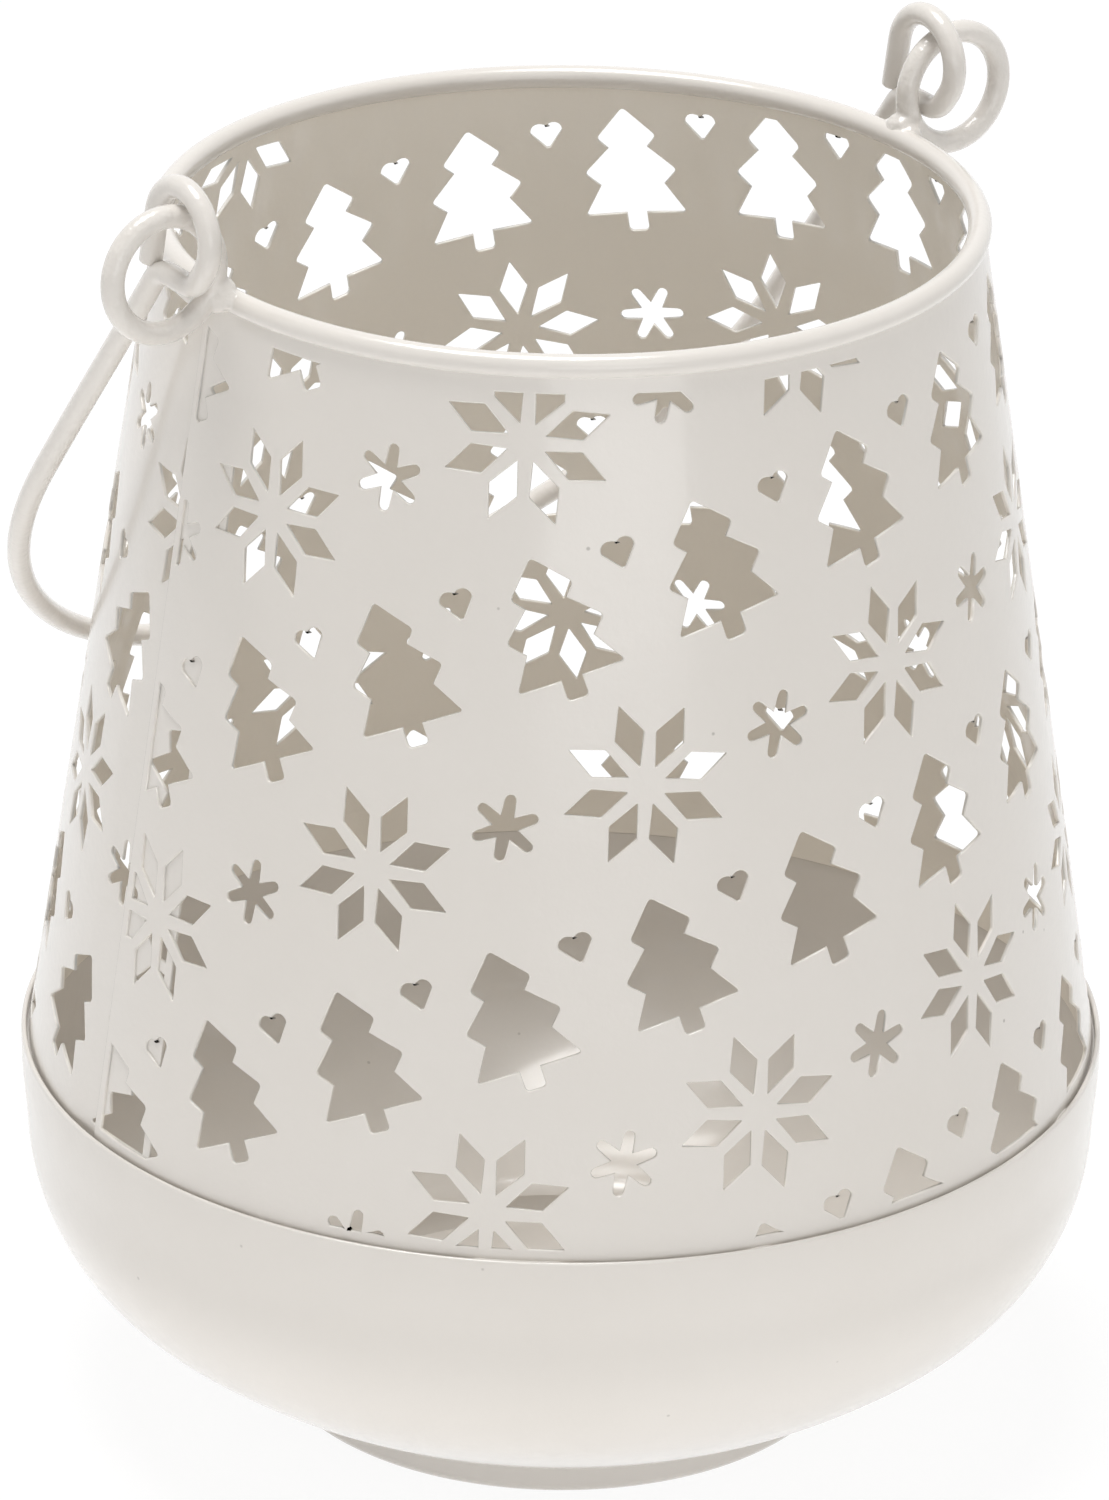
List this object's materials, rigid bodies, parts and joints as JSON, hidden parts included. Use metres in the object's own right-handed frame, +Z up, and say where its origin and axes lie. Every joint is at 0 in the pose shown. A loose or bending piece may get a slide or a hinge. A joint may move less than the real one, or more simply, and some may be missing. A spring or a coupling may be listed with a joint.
{
  "type": "pierced metal candle lantern",
  "caption": "Tapering enamelled candle lantern pierced with trees, hearts and snowflakes, seated in a round bowl, with a wire bail that swings through two welded ring ears.",
  "frame": {"origin": "middle of the foot's underside, on the table", "axes": "+Z up through the middle of the mouth; the two ears lie on X, and the hanging bail leans to +Y"},
  "size_m": [0.1418, 0.1418, 0.1796],
  "materials": {
    "enamel": "gloss",
    "bare_steel": "drawn wire"
  },
  "bodies": {
    "lantern": {"base_bowl": "enamel", "shade": "enamel", "rim_wire": "bare_steel", "ear_left": "enamel", "ear_right": "enamel"},
    "bail": {"bail": "enamel"}
  },
  "joints": [
    {"name": "bail_hinge", "type": "hinge", "parent": "lantern", "child": "bail", "pos_m": [0, 0, 0.17338], "axis": [1, 0, 0], "range_deg": [0, 282]}
  ]
}
